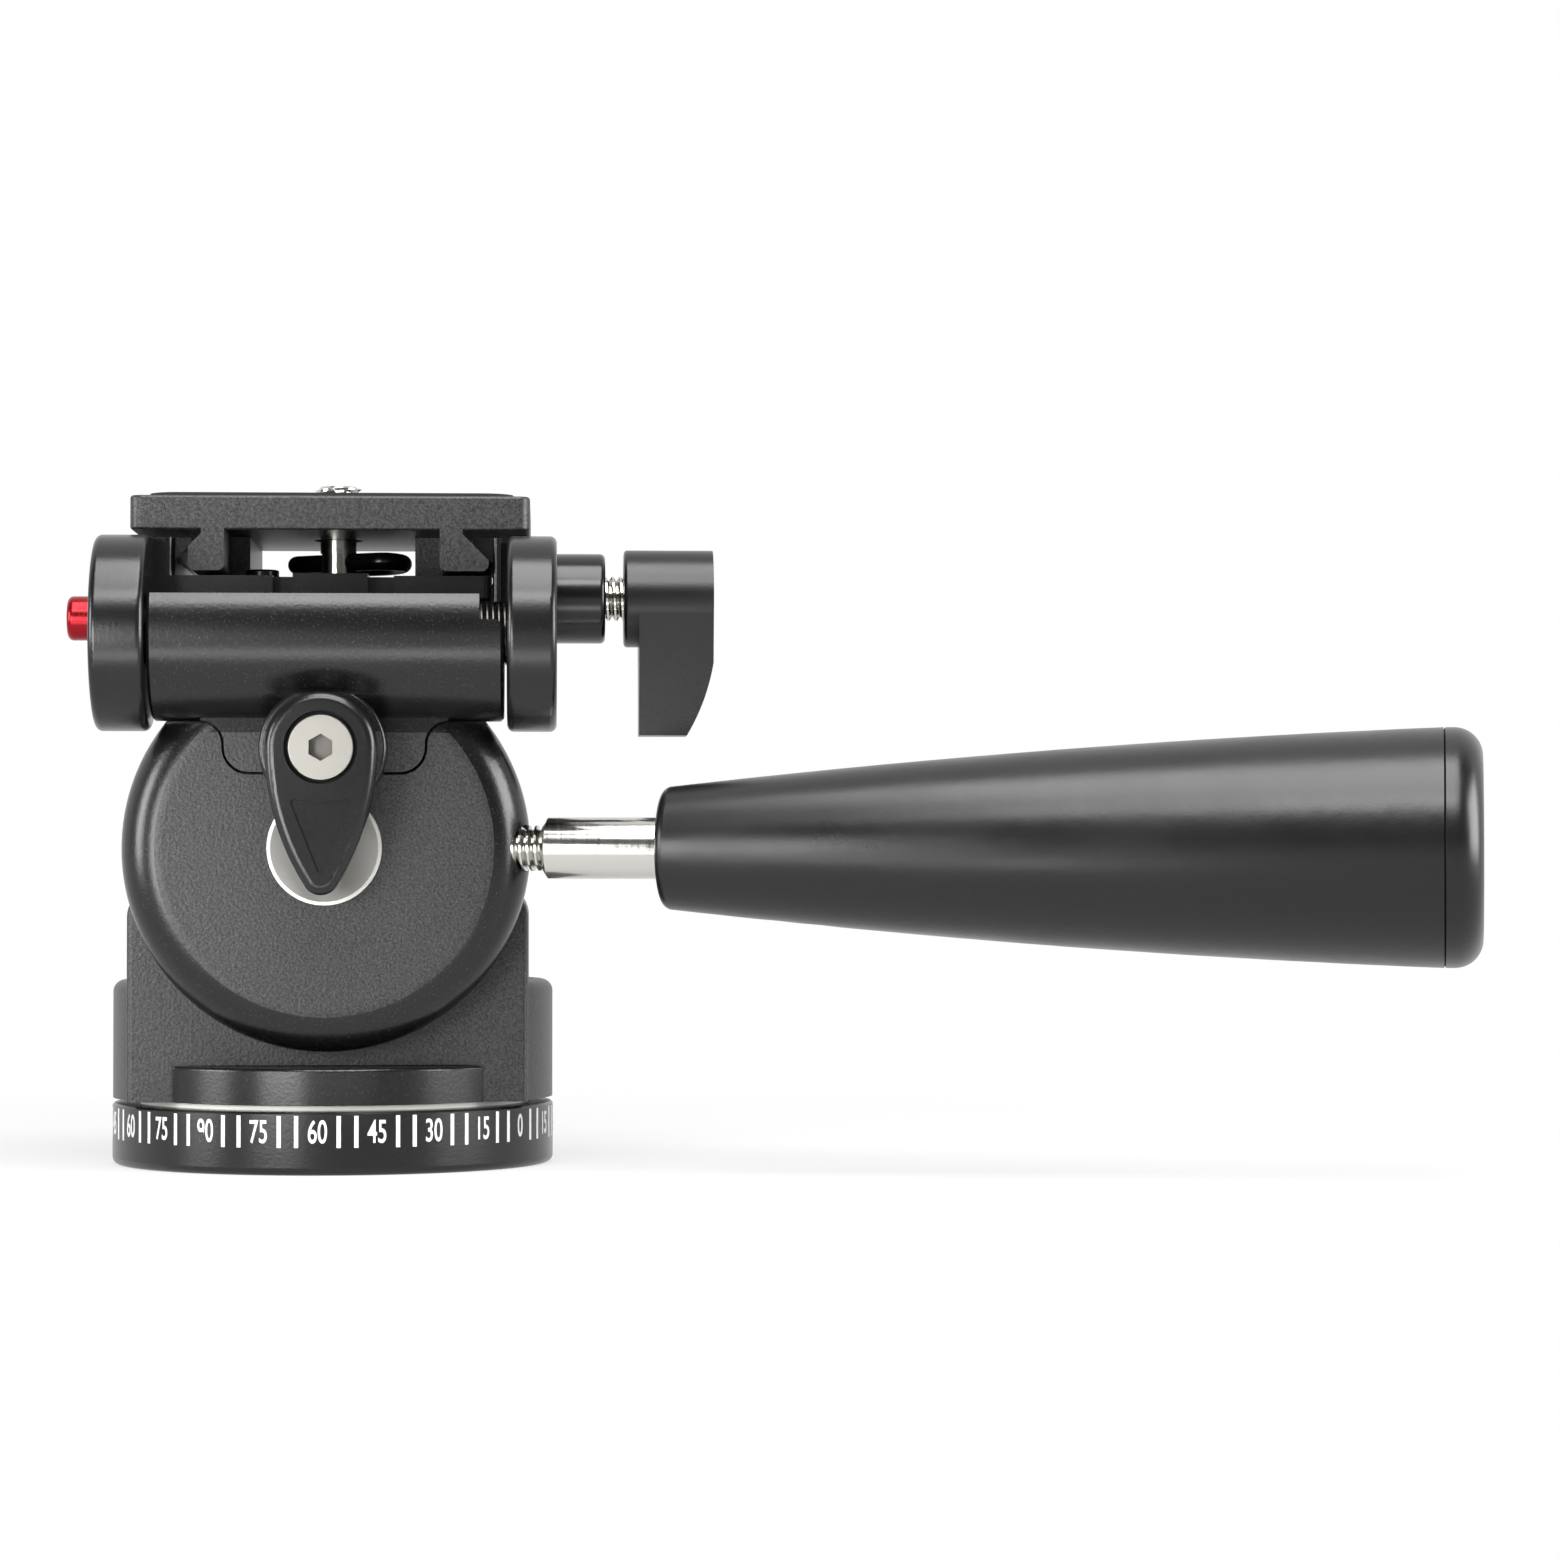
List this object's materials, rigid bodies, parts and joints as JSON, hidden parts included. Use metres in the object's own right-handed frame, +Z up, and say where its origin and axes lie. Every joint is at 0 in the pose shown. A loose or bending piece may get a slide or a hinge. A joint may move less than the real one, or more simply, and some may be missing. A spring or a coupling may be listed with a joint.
{
  "type": "three-way pan head",
  "caption": "Tripod pan head with a tilt disc, a side-tilt barrel, a pan handle and a quick-release plate in a screw clamp on top.",
  "frame": {"origin": "centre of the base's bottom face, at the mouth of the tripod socket", "axes": "+X towards the handle, +Y to the back, +Z up along the pan axis"},
  "size_m": [0.1838, 0.1043, 0.091],
  "materials": {
    "black_casting": "satin sand-blasted black anodised",
    "black_metal": "satin black",
    "black_steel": "blackened steel",
    "black_plastic": "fine textured black moulding",
    "black_rubber": "matte",
    "polished_steel": "polished stainless",
    "steel": "plain turned steel",
    "brass": "turned",
    "polymer": "bearing polymer",
    "red_metal": "red anodised"
  },
  "bodies": {
    "base": {"base_ring": "black_casting", "tripod_bushing": "steel", "pan_spindle": "steel", "spindle_screws": "steel", "pan_friction_washer": "polymer", "spindle_thrust_washer": "steel", "spindle_nut": "steel"},
    "pan": {"pan_body": "black_casting", "tilt_axle": "steel", "tilt_axle_washer": "steel", "tilt_axle_nut": "steel", "rear_cover": "black_casting", "tilt_friction_washer": "polymer"},
    "pan_lock": {"pan_lock_screw": "steel", "pan_lock_knob": "black_plastic"},
    "pan_brake": {"pan_lock_shoe": "brass"},
    "tilt": {"tilt_housing": "black_casting", "tilt_axle_cap": "polished_steel", "side_lock_washer": "polymer"},
    "tilt_brake": {"tilt_brake_plunger": "brass"},
    "handle": {"handle_rod": "polished_steel", "handle_grip": "black_plastic", "handle_end_cap": "black_plastic", "grip_nut": "steel", "grip_washer": "steel"},
    "side_lock": {"side_lock_lever": "black_metal", "side_lock_screw": "polished_steel"},
    "clamp": {"clamp_base": "black_casting", "side_tilt_axle": "black_steel", "clamp_screw_boss": "black_metal"},
    "jaw": {"moving_jaw": "black_metal"},
    "clamp_knob": {"clamp_screw": "polished_steel", "clamp_knob": "black_plastic", "clamp_screw_clip": "steel"},
    "release_button": {"release_button": "red_metal", "button_spring": "steel"},
    "safety_catch": {"safety_catch": "black_steel"},
    "plate": {"quick_release_plate": "black_metal", "plate_pad": "black_rubber"},
    "camera_screw": {"camera_screw": "polished_steel"},
    "d_ring": {"camera_screw_ring": "black_steel"}
  },
  "joints": [
    {"name": "pan_turn", "type": "hinge", "parent": "base", "child": "pan", "pos_m": [0, 0, 0.015], "axis": [0, 0, 1], "continuous": true},
    {"name": "pan_lock_turn", "type": "hinge", "parent": "pan", "child": "pan_lock", "pos_m": [0, 0.03, 0.0165], "axis": [0, 1, 0], "range_deg": [-90, 180]},
    {"name": "pan_brake_slide", "type": "slide", "parent": "pan", "child": "pan_brake", "axis": [0, 1, 0], "range_m": [-0.00025, 0.0005]},
    {"name": "tilt_turn", "type": "hinge", "parent": "pan", "child": "tilt", "pos_m": [0, 0, 0.0421], "axis": [0, 1, 0], "range_deg": [-57, 38]},
    {"name": "handle_turn", "type": "hinge", "parent": "tilt", "child": "handle", "pos_m": [0.0265, -0.0239, 0.0421], "axis": [0.9806, -0.1959, 0], "range_deg": [-90, 180]},
    {"name": "tilt_brake_slide", "type": "slide", "parent": "tilt", "child": "tilt_brake", "axis": [0.9806, -0.1959, 0], "range_m": [-0.00025, 0.0005]},
    {"name": "side_lock_turn", "type": "hinge", "parent": "tilt", "child": "side_lock", "pos_m": [0, -0.033, 0.0548], "axis": [0, -1, 0], "range_deg": [-20, 90]},
    {"name": "side_tilt_turn", "type": "hinge", "parent": "tilt", "child": "clamp", "pos_m": [0, -0.025, 0.0699], "axis": [1, 0, 0], "range_deg": [0, 90]},
    {"name": "jaw_slide", "type": "slide", "parent": "clamp", "child": "jaw", "axis": [1, 0, 0], "range_m": [0, 0.0008]},
    {"name": "clamp_knob_turn", "type": "hinge", "parent": "jaw", "child": "clamp_knob", "pos_m": [0.035, -0.007, 0.0756], "axis": [1, 0, 0], "range_deg": [0, 288]},
    {"name": "button_press", "type": "slide", "parent": "clamp", "child": "release_button", "axis": [1, 0, 0], "range_m": [0, 0.002], "stiffness_N_per_m": 600, "springref_m": -0.002, "deforming": ["button_spring"]},
    {"name": "catch_drop", "type": "slide", "parent": "clamp", "child": "safety_catch", "axis": [0, 0, 1], "range_m": [-0.0012, 0]},
    {"name": "plate_slide", "type": "slide", "parent": "clamp", "child": "plate", "axis": [0, -1, 0], "range_m": [0, 0.0003]},
    {"name": "camera_screw_turn", "type": "hinge", "parent": "plate", "child": "camera_screw", "pos_m": [0.0005, 0, 0.085], "axis": [0, 0, 1], "continuous": true},
    {"name": "ring_fold", "type": "hinge", "parent": "camera_screw", "child": "d_ring", "pos_m": [0.0005, 0, 0.08075], "axis": [0.8192, -0.5736, 0], "range_deg": [0, 8]}
  ],
  "couplings": [
    {"joint": "pan_lock_turn", "follows": "pan_brake_slide", "rad_per_m": 6283.2},
    {"joint": "handle_turn", "follows": "tilt_brake_slide", "rad_per_m": 6283.2},
    {"joint": "clamp_knob_turn", "follows": "jaw_slide", "rad_per_m": 6283.2},
    {"joint": "catch_drop", "follows": "button_press", "ratio": -0.6}
  ]
}
